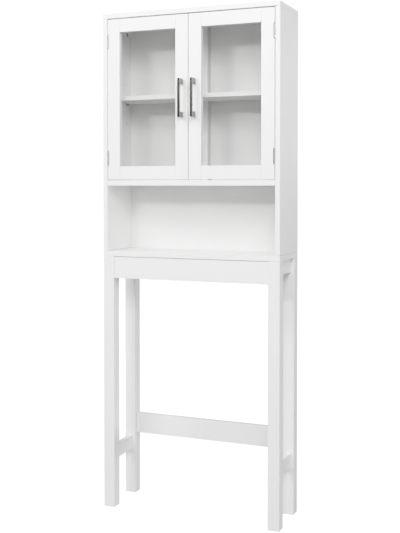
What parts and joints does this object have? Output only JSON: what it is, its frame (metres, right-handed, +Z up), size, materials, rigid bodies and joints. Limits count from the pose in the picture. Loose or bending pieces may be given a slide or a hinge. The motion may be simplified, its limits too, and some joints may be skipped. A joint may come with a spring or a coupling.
{
  "type": "over the toilet storage rack",
  "caption": "Tall white over-the-toilet cabinet on open legs, with framed glass doors, bar pulls, an adjustable inner shelf, an open bay, aprons and low stretchers.",
  "frame": {"origin": "on the floor, under the middle of the whole object's box with the handles counted", "axes": "+Z up; -Y out through the doors, towards the user; +X to the user's right"},
  "size_m": [0.635, 0.233, 1.7],
  "materials": {
    "white_paint": "satin white paint on fibreboard",
    "back_board": "white faced hardboard",
    "glass": "clear",
    "handle_metal": "dark brushed nickel",
    "hinge_metal": "satin nickel",
    "cam_metal": "dull cast zinc",
    "catch_plastic": "moulded"
  },
  "bodies": {
    "case": {"top_panel": "white_paint", "left_side_panel": "white_paint", "right_side_panel": "white_paint", "fixed_shelf": "white_paint", "bench_top": "white_paint", "back_panel": "back_board", "centre_back_brace": "white_paint", "front_left_leg": "white_paint", "front_right_leg": "white_paint", "rear_left_leg": "white_paint", "rear_right_leg": "white_paint", "front_apron": "white_paint", "rear_apron": "white_paint", "left_apron": "white_paint", "right_apron": "white_paint", "back_stretcher": "white_paint", "left_stretcher": "white_paint", "right_stretcher": "white_paint", "front_left_shelf_pin": "hinge_metal", "front_right_shelf_pin": "hinge_metal", "rear_left_shelf_pin": "hinge_metal", "rear_right_shelf_pin": "hinge_metal", "front_left_cam_lock": "cam_metal", "front_right_cam_lock": "cam_metal", "rear_left_cam_lock": "cam_metal", "rear_right_cam_lock": "cam_metal", "magnetic_catch": "catch_plastic", "door_stop": "catch_plastic", "left_lower_hinge_case_leaf": "hinge_metal", "left_lower_hinge_pin": "hinge_metal", "left_upper_hinge_case_leaf": "hinge_metal", "left_upper_hinge_pin": "hinge_metal", "right_lower_hinge_case_leaf": "hinge_metal", "right_lower_hinge_pin": "hinge_metal", "right_upper_hinge_case_leaf": "hinge_metal", "right_upper_hinge_pin": "hinge_metal"},
    "left_door": {"left_door_outer_stile": "white_paint", "left_door_inner_stile": "white_paint", "left_door_top_rail": "white_paint", "left_door_bottom_rail": "white_paint", "left_door_glass": "glass", "left_glass_bead": "white_paint", "left_handle": "handle_metal", "left_lower_hinge_door_leaf": "hinge_metal", "left_upper_hinge_door_leaf": "hinge_metal", "left_strike_plate": "hinge_metal"},
    "right_door": {"right_door_outer_stile": "white_paint", "right_door_inner_stile": "white_paint", "right_door_top_rail": "white_paint", "right_door_bottom_rail": "white_paint", "right_door_glass": "glass", "right_glass_bead": "white_paint", "right_handle": "handle_metal", "right_lower_hinge_door_leaf": "hinge_metal", "right_upper_hinge_door_leaf": "hinge_metal", "right_strike_plate": "hinge_metal"},
    "shelf": {"adjustable_shelf": "white_paint"}
  },
  "joints": [
    {"name": "left_door_hinge", "type": "hinge", "parent": "case", "child": "left_door", "pos_m": [-0.298, -0.0865, 1.40665], "axis": [0, 0, -1], "range_deg": [0, 170]},
    {"name": "right_door_hinge", "type": "hinge", "parent": "case", "child": "right_door", "pos_m": [0.298, -0.0865, 1.40665], "axis": [0, 0, 1], "range_deg": [0, 170]},
    {"name": "shelf_lift", "type": "slide", "parent": "case", "child": "shelf", "axis": [0, 0, 1], "range_m": [0, 0.0695]}
  ]
}
